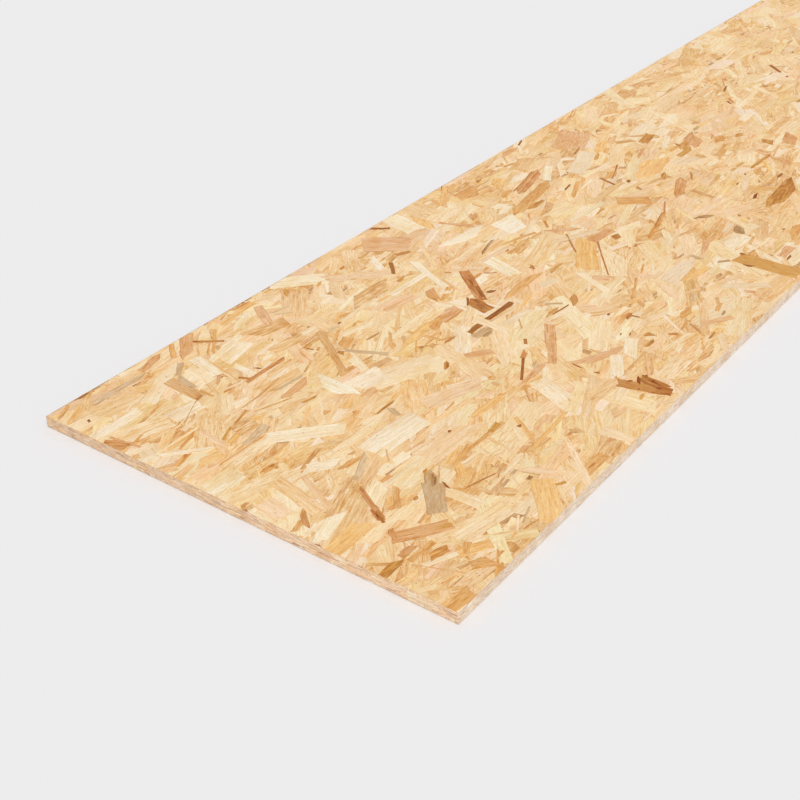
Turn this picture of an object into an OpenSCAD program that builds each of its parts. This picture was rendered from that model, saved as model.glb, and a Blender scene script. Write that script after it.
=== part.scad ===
// One panel of oriented strand board (OSB): flat strands of wood that were laid,
// pressed with resin into one hard sheet, and sawn square on all four sides.
// Millimetres. Y runs along the panel, as most strands of its faces do, X runs
// across it, and Z is up. The origin is on the underside, below the middle.

/* [Panel] */
// Length, along the strands of the faces
panel_length = 2500; // [600:10:3000]
// Width, half that of a full sheet
panel_width = 625; // [300:5:1250]
// Thickness of the pressed sheet
panel_thickness = 16; // [6:1:40]

/* [Sawn edges] */
// Width of the small bevel that handling rubs onto each arris
arris_wear = 0.3; // [0.1:0.1:1]

/* [Torn strands] */
// Length along the edge of a place where the saw tore a strand out of an arris
tear_length = 11; // [4:1:30]
// How far such a place reaches in from the edge
tear_reach = 3.5; // [1:0.5:10]
// Depth at the edge, about the thickness of one strand
tear_depth = 0.7; // [0.3:0.1:1.2]
// Distance between them along the underside, where the saw came out
tear_pitch = 340; // [100:10:600]
// Each number puts them in other places along the underside
tear_seed = 12; // [1:1:99]

/* [Hidden] */

// Where the upper arris of the near end is torn, as shares of the width from the left corner
near_tears = [0.534, 0.703];
// How much longer or shorter than tear_length a place on the underside is
tear_spread = [0.6, 1.3];
// How far it may lie from its even place, as a share of tear_pitch
tear_drift = 0.35;
// Depth left where a tear runs out, as a share of its depth at the edge
tear_shallow = 0.4;
// How far a cutting shape runs past the surface that it cuts
past = 1;

// The sides are counted from the near end, counterclockwise seen from above
sides = [0, 1, 2, 3];

// Length of one side of the panel
function side_length(side) = side % 2 == 0 ? panel_width : panel_length;

// Distance from the middle of the panel out to one side
function side_distance(side) = side_length(side + 1) / 2;

// A rectangle that stands on its own middle, with its corners worn off
module worn_rectangle(width, height) {
    half = width / 2;
    polygon([
        [-half + arris_wear, 0],
        [half - arris_wear, 0],
        [half, arris_wear],
        [half, height - arris_wear],
        [half - arris_wear, height],
        [-half + arris_wear, height],
        [-half, height - arris_wear],
        [-half, arris_wear],
    ]);
}

// The sawn sheet before any strand tears out: what its three outlines have in common
module sawn_sheet() {
    intersection() {
        rotate([90, 0, 0])
            linear_extrude(panel_length, center = true)
                worn_rectangle(panel_width, panel_thickness);
        rotate([90, 0, 90])
            linear_extrude(panel_width, center = true)
                worn_rectangle(panel_length, panel_thickness);
        linear_extrude(panel_thickness)
            translate([0, -panel_length / 2])
                worn_rectangle(panel_width, panel_length);
    }
}

// What a torn strand leaves at an arris that runs along X, with the panel beyond it
// towards +Y and its face at z = 0. The bottom slopes up to a splintered inner end.
module torn_strand(length) {
    slope = atan(tear_depth * (1 - tear_shallow) / tear_reach);
    translate([0, 0, -tear_depth])
        rotate([slope, 0, 0])
            linear_extrude(tear_depth + past)
                polygon([
                    [-length / 2, -past],
                    [length / 2, -past],
                    [length / 2, 0],
                    [length * 0.30, tear_reach * 0.45],
                    [length * 0.12, tear_reach * 0.35],
                    [length * -0.05, tear_reach],
                    [length * -0.22, tear_reach * 0.55],
                    [length * -0.40, tear_reach * 0.60],
                    [-length / 2, 0],
                ]);
}

// Puts a shape at an arris: of the upper face, or of the underside with under = 1
module at_arris(side, along, under = 0) {
    translate([0, 0, panel_thickness / 2])
        rotate([0, 0, 90 * side])
            mirror([0, 0, under])
                translate([along, -side_distance(side), panel_thickness / 2])
                    children();
}

// The torn places along the underside of one side
module torn_underside(side) {
    count = floor(side_length(side) / tear_pitch);
    drift = rands(-tear_drift, tear_drift, count, tear_seed + side);
    spread = rands(tear_spread[0], tear_spread[1], count, tear_seed * 2 + side);
    for (i = [0 : 1 : count - 1]) {
        along = (i - (count - 1) / 2 + drift[i]) * tear_pitch;
        at_arris(side, along, under = 1)
            torn_strand(tear_length * spread[i]);
    }
}

module osb_panel() {
    color([0.90, 0.74, 0.54])
        difference() {
            sawn_sheet();
            for (share = near_tears)
                at_arris(0, (share - 0.5) * panel_width)
                    torn_strand(tear_length);
            for (side = sides)
                torn_underside(side);
        }
}

osb_panel();
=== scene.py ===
import math

import bpy
import numpy as np
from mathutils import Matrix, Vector


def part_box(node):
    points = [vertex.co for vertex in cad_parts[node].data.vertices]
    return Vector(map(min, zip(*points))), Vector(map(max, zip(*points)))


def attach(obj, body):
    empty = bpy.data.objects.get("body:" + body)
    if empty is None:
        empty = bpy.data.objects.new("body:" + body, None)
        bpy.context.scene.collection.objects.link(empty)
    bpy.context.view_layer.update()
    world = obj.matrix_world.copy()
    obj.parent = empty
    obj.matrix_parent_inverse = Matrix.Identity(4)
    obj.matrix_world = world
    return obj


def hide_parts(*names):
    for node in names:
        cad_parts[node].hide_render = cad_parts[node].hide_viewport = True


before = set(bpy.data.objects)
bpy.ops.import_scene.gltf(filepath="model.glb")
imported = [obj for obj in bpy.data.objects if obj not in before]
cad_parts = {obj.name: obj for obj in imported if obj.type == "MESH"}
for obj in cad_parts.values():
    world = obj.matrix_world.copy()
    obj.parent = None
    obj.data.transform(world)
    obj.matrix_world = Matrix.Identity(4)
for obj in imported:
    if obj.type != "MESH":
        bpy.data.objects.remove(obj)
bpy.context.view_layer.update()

# The panel is laid out in millimetres and turned into metres where a mesh is made
mm = 0.001
lowCorner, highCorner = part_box("osb_panel")
halfWidth = highCorner.x / mm
halfLength = highCorner.y / mm
thickness = highCorner.z / mm
scene = bpy.context.scene
print("panel", round(2 * halfWidth), "x", round(2 * halfLength), "x", round(thickness, 1), "mm")


# Camera, at the photograph's own place and angle
cameraSet = {
    "place": (0.8785, -2.131, 0.949),  # metres from the middle of the underside
    "azimuth": 36.03,  # degrees round to the right of the long axis
    "elevation": 32.76,  # degrees above the horizon
    "lens": 60.66,  # mm
    "sensor": 36.0,  # mm
}


def placeCamera(s):
    data = bpy.data.cameras.new("camera")
    data.lens = s["lens"]
    data.sensor_width = s["sensor"]
    data.clip_start = 0.05
    data.clip_end = 60
    camera = bpy.data.objects.new("camera", data)
    scene.collection.objects.link(camera)
    a, e = math.radians(s["azimuth"]), math.radians(s["elevation"])
    back = Vector((math.sin(a) * math.cos(e), -math.cos(a) * math.cos(e), math.sin(e)))
    camera.location = s["place"]
    camera.rotation_mode = "QUATERNION"
    camera.rotation_quaternion = (-back).to_track_quat("-Z", "Y")
    scene.camera = camera


placeCamera(cameraSet)
scene.view_settings.view_transform = "Standard"
print("camera placed")


# Small helpers for node trees
def addNode(tree, kind, inputs=None, **settings):
    made = tree.nodes.new(kind)
    for name, value in settings.items():
        setattr(made, name, value)
    for name, value in (inputs or {}).items():
        if isinstance(value, bpy.types.NodeSocket):
            tree.links.new(value, made.inputs[name])
        else:
            made.inputs[name].default_value = value
    return made


def mixColours(tree, factor, first, second, blend="MIX"):
    inputs = {0: factor, 6: first, 7: second}
    return addNode(tree, "ShaderNodeMix", inputs, data_type="RGBA", blend_type=blend).outputs[2]


def doMath(tree, operation, first, second):
    return addNode(tree, "ShaderNodeMath", {0: first, 1: second}, operation=operation).outputs[0]


def spreadRange(tree, value, low, high, newLow=0.0, newHigh=1.0):
    inputs = {"Value": value, "From Min": low, "From Max": high, "To Min": newLow, "To Max": newHigh}
    return addNode(tree, "ShaderNodeMapRange", inputs).outputs[0]


def stretch(tree, vector, scale):
    inputs = {0: vector, 1: scale}
    return addNode(tree, "ShaderNodeVectorMath", inputs, operation="MULTIPLY").outputs[0]


def addNoise(tree, vector, scale, detail=2.0, roughness=0.5, distortion=0.0):
    inputs = {"Vector": vector, "Scale": scale, "Detail": detail,
              "Roughness": roughness, "Distortion": distortion}
    return addNode(tree, "ShaderNodeTexNoise", inputs).outputs["Fac"]


# Screen colours from 0 to 255 are easier to match to a photograph than linear ones
def toLinear(colour):
    c = np.asarray(colour, float) / 255
    return np.where(c <= 0.04045, c / 12.92, ((c + 0.055) / 1.055) ** 2.4)


def linearColour(colour):
    return (*(float(x) for x in toLinear(colour)), 1.0)


def newMaterial(name):
    material = bpy.data.materials.new(name)
    material.use_nodes = True
    tree = material.node_tree
    tree.nodes.clear()
    return material, tree


# Floor and light
studioSet = {
    "floorColour": (238, 237, 238),
    "floorReach": 30.0,  # metres
    "floorSunk": 0.0004,  # metres that it lies below the panel
    "floorGap": 0.004,  # light from within so many metres passes it, so that the underside isn't black
    "skyStrength": 0.6,
    "sunStrength": 1.6,
    "sunFrom": (0.46, -0.42, 0.78),
    "sunSoftness": 25.0,  # degrees
}


def layFloor(s):
    r = s["floorReach"]
    mesh = bpy.data.meshes.new("floor")
    mesh.from_pydata([(-r, -r, 0), (r, -r, 0), (r, r, 0), (-r, r, 0)], [], [(0, 1, 2, 3)])
    floor = bpy.data.objects.new("floor", mesh)
    floor.location.z = -s["floorSunk"]
    scene.collection.objects.link(floor)
    material, tree = newMaterial("paleFloor")
    plain = addNode(tree, "ShaderNodeBsdfDiffuse", {"Color": linearColour(s["floorColour"])})
    seeThrough = addNode(tree, "ShaderNodeBsdfTransparent")
    # From below the floor lets the underside be seen, and lit
    side = addNode(tree, "ShaderNodeNewGeometry").outputs["Backfacing"]
    length = addNode(tree, "ShaderNodeLightPath").outputs["Ray Length"]
    side = doMath(tree, "MAXIMUM", side, doMath(tree, "LESS_THAN", length, s["floorGap"]))
    inputs = {0: side, 1: plain.outputs[0], 2: seeThrough.outputs[0]}
    both = addNode(tree, "ShaderNodeMixShader", inputs)
    addNode(tree, "ShaderNodeOutputMaterial", {"Surface": both.outputs[0]})
    mesh.materials.append(material)


def lightStudio(s):
    world = bpy.data.worlds.new("studio")
    world.use_nodes = True
    tree = world.node_tree
    tree.nodes.clear()
    sky = addNode(tree, "ShaderNodeBackground", {"Color": (1, 1, 1, 1), "Strength": s["skyStrength"]})
    backdrop = addNode(tree, "ShaderNodeBackground", {"Color": linearColour(s["floorColour"])})
    ray = addNode(tree, "ShaderNodeLightPath")
    seen = doMath(tree, "MAXIMUM", ray.outputs["Is Camera Ray"], ray.outputs["Is Glossy Ray"])
    seen = doMath(tree, "MAXIMUM", seen, ray.outputs["Is Transmission Ray"])
    both = addNode(tree, "ShaderNodeMixShader", {0: seen, 1: sky.outputs[0], 2: backdrop.outputs[0]})
    addNode(tree, "ShaderNodeOutputWorld", {"Surface": both.outputs[0]})
    scene.world = world
    data = bpy.data.lights.new("sun", "SUN")
    data.energy = s["sunStrength"]
    data.angle = math.radians(s["sunSoftness"])
    sun = bpy.data.objects.new("sun", data)
    sun.rotation_mode = "QUATERNION"
    sun.rotation_quaternion = Vector(s["sunFrom"]).to_track_quat("Z", "Y")
    scene.collection.objects.link(sun)


layFloor(studioSet)
lightStudio(studioSet)
print("floor and light set")


# A heap gathers flat plates, each with an outline, a level face and a rim that drops a little.
# Every corner of a plate carries its colour, its place along and across the grain, and its marks and
# shade: bands, rim shade and flecks.
def newHeap():
    return {"points": [], "tint": [], "grain": [], "marksAndShade": [], "corners": [], "sizes": [], "count": 0}


# What made a corner of an outline: the strand's own rim, the saw, a tear, or a seam inside the strand
ownRim, sawn, torn, seam = 0, 1, 2, 3


# Cuts an outline off beyond a straight line. The columns of an outline are x and y on its face, the
# place along and across the strand, and the corner's mark
def cutOutline(outline, normal, limit, mark):
    reach = outline[:, :2] @ np.array(normal, float) - limit
    inside = reach <= 0
    if inside.all():
        return outline
    kept = []
    for i in range(len(outline)):
        j = (i + 1) % len(outline)
        if inside[i]:
            kept.append(outline[i])
        if inside[i] != inside[j]:
            crossing = outline[i] + reach[i] / (reach[i] - reach[j]) * (outline[j] - outline[i])
            crossing[4] = mark
            kept.append(crossing)
    return np.array(kept).reshape(-1, outline.shape[1])


def cutToSize(outline, halfX, halfY):
    sides = ((1, 0), halfX), ((-1, 0), halfX), ((0, 1), halfY), ((0, -1), halfY)
    for normal, limit in sides:
        outline = cutOutline(outline, normal, limit, sawn)
        if len(outline) < 3:
            return None
    return outline


# Whether any side of an outline crosses another
def crossesItself(shape):
    side = np.roll(shape, -1, axis=0) - shape

    def sideOf(points):
        gap = points[None] - shape[:, None]
        return side[:, None, 0] * gap[..., 1] - side[:, None, 1] * gap[..., 0]

    parted = sideOf(shape) * sideOf(shape + side) < -1e-9
    return bool((parted & parted.T).any())


plateSet = {
    "rounds": 6,  # at a narrow tooth the rim is made narrower so many times
    "leastSide": 0.2,  # what the rim leaves of every side of the level face, or it would fold over itself
    # painted shade on the rims of a torn place, for the shadow in the pit
    "paintedTornShade": 0.9,
    "grainStep": 37.0,  # mm along the grain from one strand's wood to the next one's
}


# Adds one plate to a heap. level gives the height of each corner, place turns x, y and height into a
# point of the panel, and turn is the angle of the grain
def addPlate(heap, outline, level, place, look, turn):
    s = plateSet
    forward = np.roll(outline[:, :2], -1, axis=0) - outline[:, :2]
    length = np.maximum(np.hypot(forward[:, 0], forward[:, 1]), 1e-6)
    normal = np.stack([-forward[:, 1], forward[:, 0]], 1) / length[:, None]
    inward = normal + np.roll(normal, 1, axis=0)
    inward /= np.maximum(np.hypot(inward[:, 0], inward[:, 1]), 0.5)[:, None]
    step = inward * look["rimWidth"]
    for _ in range(s["rounds"]):
        left = forward + np.roll(step, -1, axis=0) - step
        folded = (left * forward).sum(1) < s["leastSide"] * length ** 2
        if crossesItself(outline[:, :2] + step):
            folded[:] = True
        if not folded.any():
            break
        step[folded | np.roll(folded, 1)] *= 0.5
    inner = outline.copy()
    inner[:, :2] += step
    along, across = (math.cos(turn), math.sin(turn)), (-math.sin(turn), math.cos(turn))
    inner[:, 2] += step[:, 0] * along[0] + step[:, 1] * along[1]
    inner[:, 3] += step[:, 0] * across[0] + step[:, 1] * across[1]
    limits = np.array(look["limits"])
    inner[:, :2] = inner[:, :2].clip(-limits, limits)
    n = len(outline)
    both = np.concatenate([inner, outline])
    height = level(both[:, 0], both[:, 1])
    mark = outline[:, 4].round().astype(int)
    height[n:] -= np.array([look["rimDrop"], look["wallDrop"], look["tornDrop"], 0.0])[mark]
    first = heap["count"]
    heap["points"].append(place(both[:, 0], both[:, 1], height))
    heap["tint"].append(np.tile(look["tint"], (2 * n, 1)))
    grain = np.concatenate([both[:, 2:4], np.full((2 * n, 1), look["seed"])], 1)
    grain[:, 0] += s["grainStep"] * look["seed"]
    heap["grain"].append(grain)
    marksAndShade = np.zeros((2 * n, 3))
    marksAndShade[:, 0] = look["bands"]
    # The second channel is shade: painted shade along rims and in torn places, and a strand's own
    # deepening
    marksAndShade[:n, 1] = look["shade"](inner[:, 2], inner[:, 3], 0)
    marksAndShade[n:, 1] = look["shade"](outline[:, 2], outline[:, 3], mark == ownRim)
    # Painted shade: the rims of a torn place are darkened as the shadow in the pit
    marksAndShade[n:, 1][mark == torn] = s["paintedTornShade"]
    marksAndShade[:, 2] = look["flecks"]
    heap["marksAndShade"].append(marksAndShade)
    around = np.arange(n)
    after = (around + 1) % n
    rim = np.stack([around, n + around, n + after, after], 1)
    heap["corners"].append(np.concatenate([around, rim.ravel()]) + first)
    heap["sizes"].append(np.concatenate([[n], np.full(n, 4)]))
    heap["count"] += 2 * n


# Links a mesh as a piece of the panel
def addPiece(name, mesh, material):
    mesh.materials.append(material)
    piece = bpy.data.objects.new(name, mesh)
    scene.collection.objects.link(piece)
    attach(piece, "root")
    return piece


def makePiece(name, heap, material):
    points = np.concatenate(heap["points"]) * mm
    corners = np.concatenate(heap["corners"]).astype(np.int32)
    sizes = np.concatenate(heap["sizes"]).astype(np.int32)
    starts = np.concatenate([[0], np.cumsum(sizes)[:-1]]).astype(np.int32)
    mesh = bpy.data.meshes.new(name)
    mesh.vertices.add(len(points))
    mesh.vertices.foreach_set("co", points.astype(np.float32).ravel())
    mesh.loops.add(len(corners))
    mesh.loops.foreach_set("vertex_index", corners)
    mesh.polygons.add(len(sizes))
    mesh.polygons.foreach_set("loop_start", starts)
    mesh.update(calc_edges=True)
    mesh.shade_flat()
    for key, kind, field in (("tint", "FLOAT_COLOR", "color"), ("grain", "FLOAT_VECTOR", "vector"),
                             ("marksAndShade", "FLOAT_VECTOR", "vector")):
        values = np.concatenate(heap[key]).astype(np.float32).ravel()
        mesh.attributes.new(key, kind, "POINT").data.foreach_set(field, values)
    addPiece(name, mesh, material)
    triangles = int((sizes - 2).sum())
    print("made", name, "with", len(heap["sizes"]), "plates and", triangles, "triangles")


# Wood of a strand, with streaks and stains along its own grain. A tone is what the strand's colour
# is multiplied by, a reach is how much of it shows where it is strongest, and a grain is how often a
# pattern changes in a millimetre along the strand and across it
woodSet = {
    "bandTone": (0.95, 0.84, 0.66),  # of a late band
    "bandGrain": (0.010, 0.22),
    "streakDark": (0.90, 0.81, 0.69),
    "streakPale": (1.05, 1.09, 1.15),
    "streakGrain": (0.05, 0.45),
    "stainTone": (0.82, 0.60, 0.33),  # amber, where the resin and the press have darkened it
    "stainReach": 0.75,
    "stainGrain": (0.06, 0.28),
    "stainClouds": 9.0,  # a metre: the parts of the panel where stains gather
    "lineTone": (0.82, 0.60, 0.34),
    "lineReach": 0.85,
    "lineGrain": (0.05, 0.9),
    "lineGroups": (0.015, 0.10),
    "deepStreak": (0.70, 0.54, 0.32),
    "deepGrain": (0.03, 0.42),
    "mottleDark": (0.88, 0.79, 0.66),
    "mottlePale": (1.10, 1.17, 1.26),
    "mottleGrain": (0.05, 0.20),
    "dashTone": (0.62, 0.42, 0.24),
    "dashReach": 0.8,
    "dashGrain": (0.16, 0.8),
    "glowTone": (0.95, 0.86, 0.66),
    "glowReach": 0.75,
    "glowClouds": (36.0, 17.0, 36.0),  # a metre
    "fibreGrain": (0.08, 1.6),
    "speckle": 330.0,  # a metre
    "contrast": 0.09,  # how much the fibres and the speckle differ in brightness
    "fleckColour": (166, 106, 58),
    "fleckReach": 0.7,
    "fleckGrain": (0.16, 0.26),
    # of the rim shade: painted shade at rims, and a strand's own deepening inside it
    "rimTone": (0.66, 0.42, 0.18),
    "fineness": 1.0,  # of all the grain
    "roughness": 0.6,
    "specular": 0.25,
    "bump": 0.35,
    "bumpDepth": 0.00012,  # metres
}


def strandWood(name, s):
    material, tree = newMaterial(name)
    tintNode = addNode(tree, "ShaderNodeAttribute", attribute_name="tint")
    tint, stained = tintNode.outputs["Color"], tintNode.outputs["Alpha"]
    grain = addNode(tree, "ShaderNodeAttribute", attribute_name="grain").outputs["Vector"]
    grain = stretch(tree, grain, (s["fineness"], s["fineness"], 1.0))
    marksAndShade = addNode(tree, "ShaderNodeAttribute", attribute_name="marksAndShade").outputs["Vector"]
    parts = addNode(tree, "ShaderNodeSeparateXYZ", {0: marksAndShade})
    bands, rimShade, flecks = parts.outputs[0], parts.outputs[1], parts.outputs[2]
    whole = addNode(tree, "ShaderNodeTexCoord").outputs["Object"]

    def grainNoise(key, detail=3.0, roughness=0.6, distortion=0.0):
        return addNoise(tree, stretch(tree, grain, (*s[key], 1.0)), 1.0, detail, roughness, distortion)

    def multiply(first, second):
        return doMath(tree, "MULTIPLY", first, second)

    def multiplied(colour, tone):
        return mixColours(tree, 1.0, colour, tone, "MULTIPLY")

    def toned(colour, tone, amount):
        return mixColours(tree, amount, colour, multiplied(colour, (*tone, 1)))

    def between(value, low, high, dark, pale):
        return mixColours(tree, spreadRange(tree, value, low, high), (*dark, 1), (*pale, 1))

    wide = spreadRange(tree, grainNoise("bandGrain", 2.0, 0.5, 0.3), 0.42, 0.62)
    colour = toned(tint, s["bandTone"], multiply(wide, bands))

    # Pale clean strands are calm, stained ones lively
    lively = spreadRange(tree, stained, 0.0, 0.3, 0.5, 1.0)
    streaks = grainNoise("streakGrain", distortion=0.3)
    shade = between(streaks, 0.34, 0.66, s["streakDark"], s["streakPale"])
    colour = mixColours(tree, lively, colour, multiplied(colour, shade))

    # Stains are patches along the grain, and gather in some parts of the panel
    cloud = spreadRange(tree, addNoise(tree, whole, s["stainClouds"], 3.0, 0.6), 0.38, 0.62, -0.08, 0.08)
    patches = doMath(tree, "ADD", grainNoise("stainGrain", 4.0, 0.65, 0.4), cloud)
    patches = doMath(tree, "ADD", patches, multiply(stained, 0.20))
    stain = multiply(spreadRange(tree, patches, 0.59, 0.77), s["stainReach"])
    colour = toned(colour, s["stainTone"], stain)

    # Thin dark lines come in groups, and more of them in a stain
    lines = doMath(tree, "ADD", grainNoise("lineGrain", distortion=0.2), multiply(stain, 0.06))
    groups = spreadRange(tree, grainNoise("lineGroups", 2.0, 0.5), 0.42, 0.60, 0.15, 1.0)
    lines = multiply(spreadRange(tree, lines, 0.56, 0.65), groups)
    colour = toned(colour, s["lineTone"], multiply(lines, s["lineReach"]))

    # Heartwood and bark have dark streaks of their own
    deep = spreadRange(tree, grainNoise("deepGrain", distortion=0.2), 0.46, 0.64)
    colour = toned(colour, s["deepStreak"], multiply(deep, spreadRange(tree, stained, 0.45, 0.8)))

    # and are mottled, paler here and darker there
    mottled = grainNoise("mottleGrain", distortion=0.5)
    mottled = between(mottled, 0.36, 0.64, s["mottleDark"], s["mottlePale"])
    colour = mixColours(tree, spreadRange(tree, stained, 0.42, 0.75), colour, multiplied(colour, mottled))

    # Short dark dashes are bits of bark and open pores
    dashes = spreadRange(tree, grainNoise("dashGrain", roughness=0.75), 0.67, 0.73)
    colour = toned(colour, s["dashTone"], multiply(dashes, s["dashReach"]))

    # The resin has left a golden glow that runs from strand to strand
    glow = addNoise(tree, stretch(tree, whole, s["glowClouds"]), 1.0, 4.0, 0.62)
    colour = toned(colour, s["glowTone"], multiply(spreadRange(tree, glow, 0.50, 0.66), s["glowReach"]))

    fibres = grainNoise("fibreGrain", 4.0, 0.65)
    bright = doMath(tree, "ADD", fibres, addNoise(tree, whole, s["speckle"], 3.0, 0.6))
    bright = spreadRange(tree, bright, 0.7, 1.3, 1 - s["contrast"], 1 + s["contrast"])
    bright = addNode(tree, "ShaderNodeCombineXYZ", {0: bright, 1: bright, 2: bright}).outputs[0]
    colour = multiplied(colour, bright)

    # A fleck fills the middle of a cell, in the share of the cells that the strand asks for
    cells = {"Vector": stretch(tree, grain, (*s["fleckGrain"], 1.0)), "Scale": 1.0}
    cells = addNode(tree, "ShaderNodeTexVoronoi", cells)
    near = spreadRange(tree, cells.outputs["Distance"], 0.26, 0.12)
    chosen = addNode(tree, "ShaderNodeSeparateColor", {0: cells.outputs["Color"]}).outputs[0]
    chosen = doMath(tree, "LESS_THAN", chosen, flecks)
    spot = multiply(multiply(near, chosen), s["fleckReach"])
    colour = mixColours(tree, spot, colour, linearColour(s["fleckColour"]))
    # Painted shade: the rim channel darkens the rims of strands, torn places and sawn sections as their
    # gaps would be shaded; inside a strand it is the strand's own deepening
    colour = toned(colour, s["rimTone"], rimShade)

    relief = doMath(tree, "ADD", fibres, multiply(lines, -0.6))
    finishWood(tree, colour, relief, s)
    return material


# Ends a wood's tree: a bump over the relief, and the shader
def finishWood(tree, colour, relief, s):
    bump = {"Strength": s["bump"], "Distance": s["bumpDepth"], "Height": relief}
    bump = addNode(tree, "ShaderNodeBump", bump).outputs[0]
    inputs = {"Base Color": colour, "Normal": bump, "Roughness": s["roughness"],
              "Specular IOR Level": s["specular"]}
    shader = addNode(tree, "ShaderNodeBsdfPrincipled", inputs)
    addNode(tree, "ShaderNodeOutputMaterial", {"Surface": shader.outputs[0]})


faceWood = strandWood("strandWood", woodSet)


# Colours of the strands of both faces: screen colour, share of the strands, and how stained they are
strandTints = {
    "milk": ((255, 241, 221), 0.0, 0.0),
    "cream": ((255, 238, 212), 0.15, 0.0),
    "paleStraw": ((252, 230, 194), 0.30, 0.1),
    "straw": ((248, 219, 175), 0.28, 0.3),
    "honey": ((243, 208, 160), 0.10, 0.5),
    "gold": ((247, 204, 139), 0.03, 0.3),
    "rosyPale": ((248, 217, 181), 0.08, 0.1),
    "rosy": ((236, 192, 150), 0.02, 0.4),
    "ash": ((243, 221, 191), 0.01, 0.0),
    "clay": ((228, 176, 124), 0.008, 0.5),
    "amber": ((232, 181, 115), 0.03, 0.5),
    "tan": ((225, 183, 130), 0.03, 0.4),
    "grey": ((224, 198, 163), 0.02, 0.3),
    "greyOlive": ((210, 180, 142), 0.01, 0.35),
    "olive": ((190, 157, 115), 0.003, 0.6),
    "ochre": ((216, 164, 88), 0.008, 0.6),
    "rust": ((217, 159, 104), 0.006, 0.6),
    "brown": ((200, 142, 78), 0.010, 0.7),
    "umber": ((166, 105, 42), 0.006, 0.6),
    "bark": ((152, 78, 14), 0.0, 0.6),
}
tintNames = list(strandTints)
usualTint = toLinear((247, 219, 177))
paleTints = ("milk", "cream", "paleStraw", "straw", "honey", "rosyPale", "ash")
rareTints = ("ash", "grey", "greyOlive", "olive", "clay", "ochre", "rust", "brown", "umber", "bark")
tintShares = np.array([strandTints[name][1] for name in tintNames])
tintShares = tintShares / tintShares.sum()


# Strands of a face, from broad ones to slivers: share of the count, length, width
strandKinds = [
    {"share": 0.26, "length": (75, 140), "width": (18, 40)},
    {"share": 0.34, "length": (45, 115), "width": (9, 20)},
    {"share": 0.24, "length": (25, 90), "width": (4, 10)},
    {"share": 0.16, "length": (10, 45), "width": (1.2, 4)},
]
kindShares = np.array([kind["share"] for kind in strandKinds])

faceSet = {
    "count": 9000,  # strands of each face, of which those that nothing is seen of are left out
    "beyond": (8, 12),  # mm past the sawn sides that their middles may lie
    "skin": 0.02,  # mm that the topmost strand lies within the panel's own surface
    "depth": 0.95,  # mm from there down to the deepest strand
    "tilt": 0.28,  # mm that one end of a strand may dive below the other
    "roll": 0.08,  # and one side below the other
    "lift": 0.04,  # mm of chance in its height
    "bow": 0.012,  # of its length
    "setBack": 0.35,  # mm that the deepest strands' cuts lie behind the topmost ones'
    "rimWidth": (0.8, 0.2),  # mm, and no more than this share of the strand's width
    # a dark side carries a painted shade line, where the gap under it would be in shadow
    "darkRim": (1.3, 0.25),  # the same where a side is dark
    "rimDrop": (0.2, 0.45),  # mm
    "wallDrop": 1.1,  # mm of a strand's cut that shows below its own level
    "tornDrop": 0.7,  # mm
    "topShare": 0.84,  # the strands that were seen are laid from here up, in layers by tint
    "restShare": 0.80,  # and the others below this
    "calmReach": 250,  # up to so many mm past the panel's middle, only the seen strands are dark
    "contrast": 0.85,  # how much the strands differ
    "seenContrast": 0.88,  # and those that were seen
    "seenVary": 0.3,  # how much a seen strand strays from its tint, of what the others do
    "deepTone": (0.96, 0.88, 0.74),  # what the deepest strands' colours are multiplied by
    "flecks": (0.02, 0.06, 0.16),  # how many cells of a strand have a fleck,
    "fleckShares": (0.50, 0.36, 0.14),  # and in what share of the strands
}

# Which way the strands lie, in degrees from the long axis: share, middle and spread
strandTurns = [(0.58, -3, 14), (0.32, -33, 20), (0.10, 50, 60)]


def anyTurn(rng):
    share, middle, spread = strandTurns[rng.choice(len(strandTurns), p=[t[0] for t in strandTurns])]
    return rng.normal(middle, spread)


# The ends of the strands, by a number from 0 to 1
endSet = {
    "pointed": 0.10,  # split to a point below this,
    "square": 0.60,  # cut square by the knife below this,
    "slanted": 0.93,  # cut or split on a slant below this, and otherwise split along the grain
    "seenKinds": (0.10, 0.75),
    "frayed": 0.45,  # share of the ends
    "reach": 0.4,  # of the strand's length at the most
}


# The shape of a strand's end: places across it from -1 to 1, and how far back the end lies at each
def shapeEnd(rng, width, reach, pointed, seen):
    kind = rng.uniform(*endSet["seenKinds"]) if seen else rng.random()
    if pointed or kind < endSet["pointed"]:
        tip = rng.choice([-1, 1]) * rng.uniform(0.2, 0.9)
        back = min(width * rng.uniform(0.7, 1.6), reach / 1.5)
        places, backs = [-1, tip, 1], [back * (1 + 0.5 * tip), 0.0, back * (1 - 0.5 * tip)]
    elif kind < endSet["square"]:
        slant = rng.normal(0, 0.10) * width
        places, backs = [-1, 1], [max(slant, 0), max(-slant, 0)]
    elif kind < endSet["slanted"]:
        slant = min(width * rng.uniform(0.3, 1.2), reach)
        bend = rng.uniform(0.35, 0.65)
        places, backs = [-1, 0, 1], [0.0, slant * bend, slant]
        backs = backs if rng.random() < 0.5 else backs[::-1]
    else:
        notch = min(width * rng.uniform(0.2, 0.6), reach)
        places, backs = [-1, rng.uniform(-0.3, 0.3), 1], [0.0, notch, notch * rng.uniform(0.0, 0.4)]
    if width > 4 and rng.random() < endSet["frayed"]:
        extra = np.sort(rng.uniform(-0.9, 0.9, rng.integers(2, 6)))
        deep = np.interp(extra, places, backs) + rng.uniform(0, min(4.0, 0.3 * width), len(extra))
        order = np.argsort(np.concatenate([places, extra]), kind="stable")
        backs = np.concatenate([backs, deep])[order]
        places = np.concatenate([places, extra])[order]
    return np.array(places, float), np.minimum(np.array(backs, float), reach)


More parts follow.
